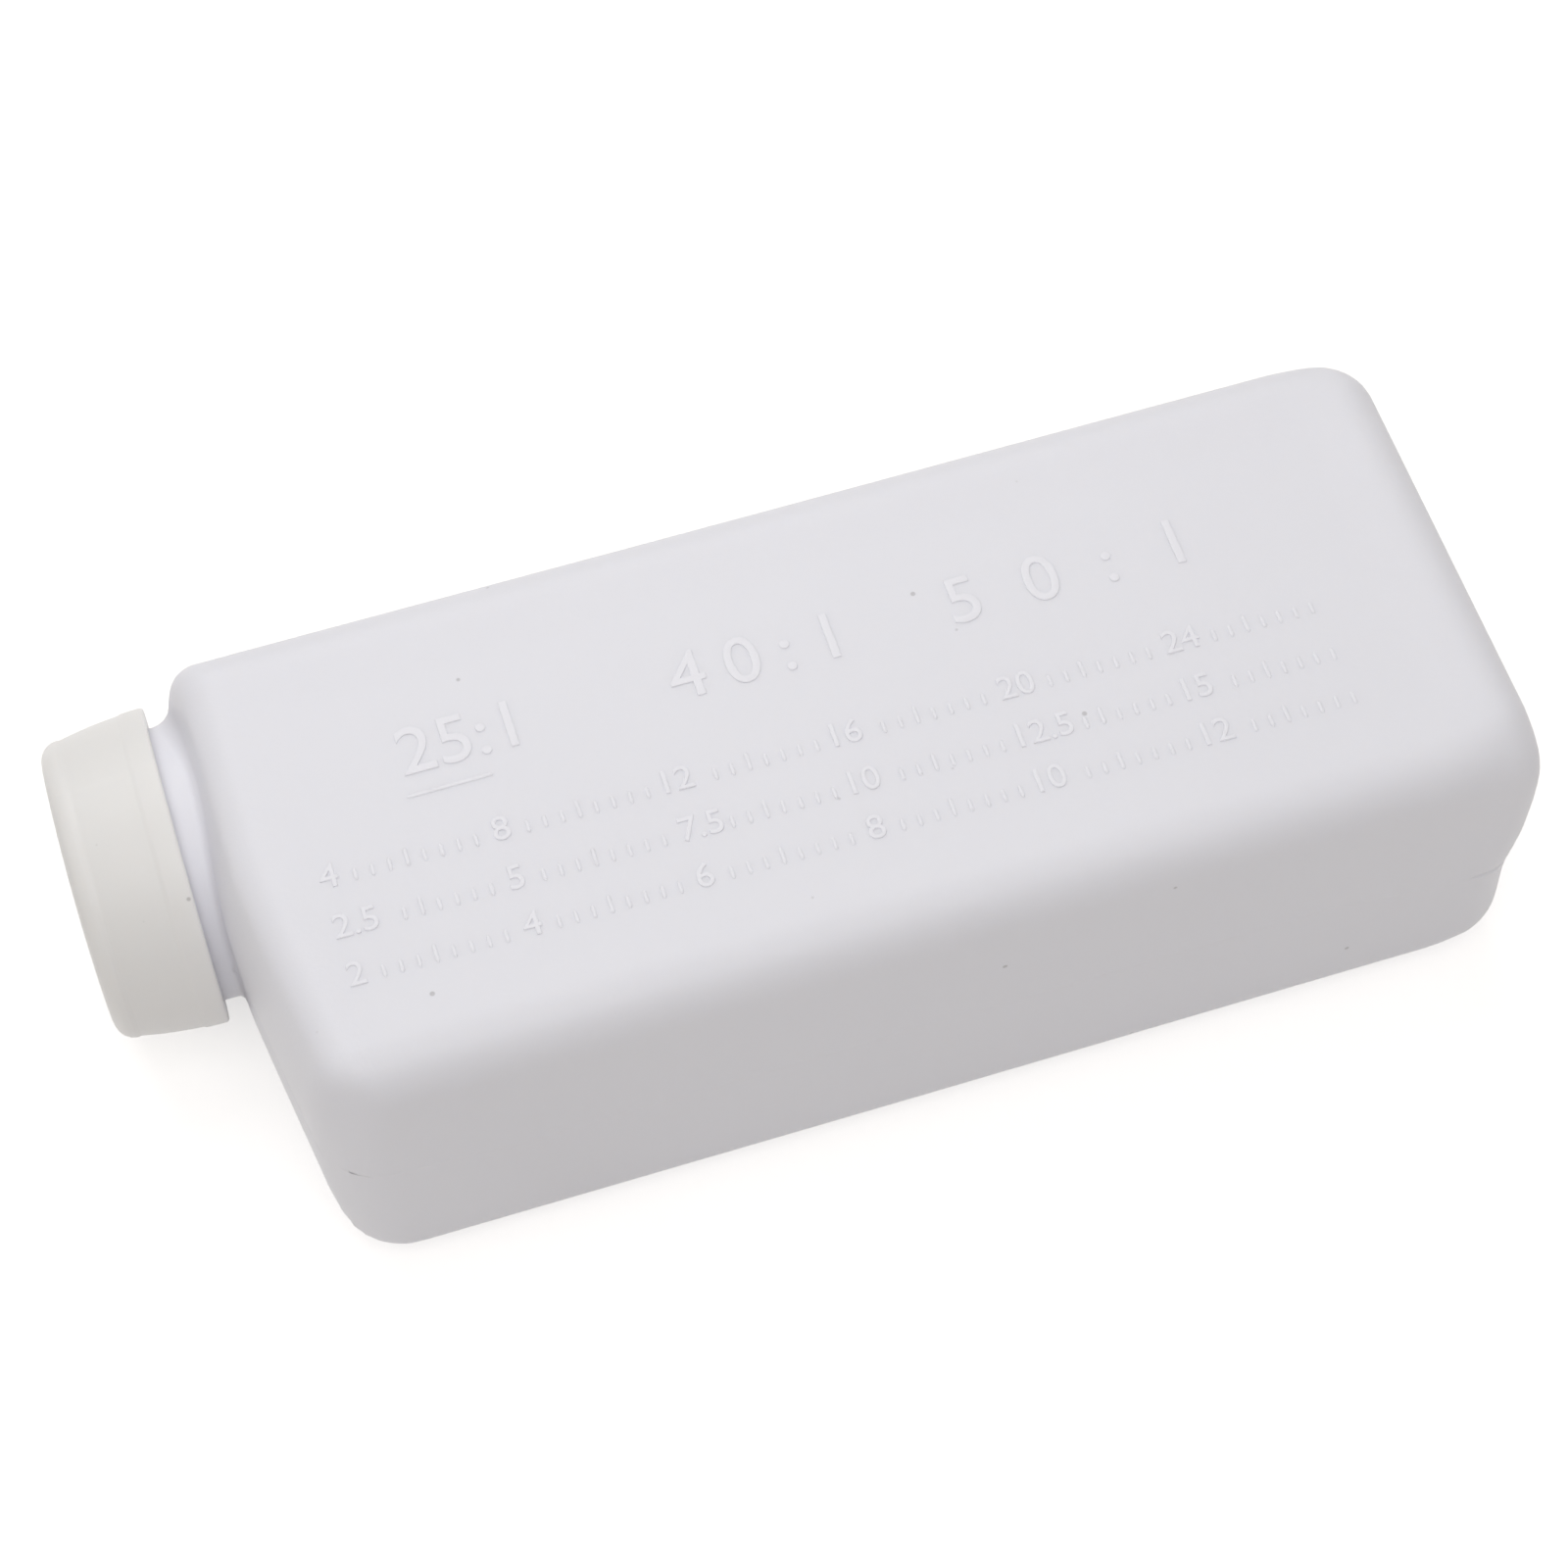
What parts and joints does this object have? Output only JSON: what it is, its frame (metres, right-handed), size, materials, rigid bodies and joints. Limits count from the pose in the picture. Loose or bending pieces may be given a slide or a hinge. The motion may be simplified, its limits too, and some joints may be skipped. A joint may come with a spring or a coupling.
{
  "type": "fuel mixing bottle",
  "caption": "Flat rectangular plastic bottle for measuring and mixing fuel and oil, with a wide offset neck and a plain screw cap, lying on its back panel.",
  "frame": {"origin": "on the surface that the back panel lies on, under the middle of the whole part's box", "axes": "+X along the bottle from the neck to the base, +Y to the side that the neck is flush with, +Z out of the front panel"},
  "size_m": [0.198, 0.0804, 0.052],
  "materials": {
    "bottle_plastic": "blow-moulded translucent white polyethylene, satin",
    "cap_plastic": "injection-moulded warm white polyethylene, satin",
    "disc_foam": "closed-cell polyethylene foam, matt"
  },
  "bodies": {
    "bottle": {"bottle": "bottle_plastic"},
    "disc": {"sealing_disc": "disc_foam"},
    "cap": {"cap": "cap_plastic"}
  },
  "joints": [
    {"name": "cap_lift", "type": "slide", "parent": "bottle", "child": "disc", "axis": [-1, 0, 0], "range_m": [0, 0.018]},
    {"name": "cap_turn", "type": "hinge", "parent": "disc", "child": "cap", "pos_m": [-0.0909, 0.0171, 0.026], "axis": [-1, 0, 0], "range_deg": [0, 1440]}
  ],
  "couplings": [
    {"joint": "cap_lift", "follows": "cap_turn", "m_per_rad": 0.00071619}
  ]
}
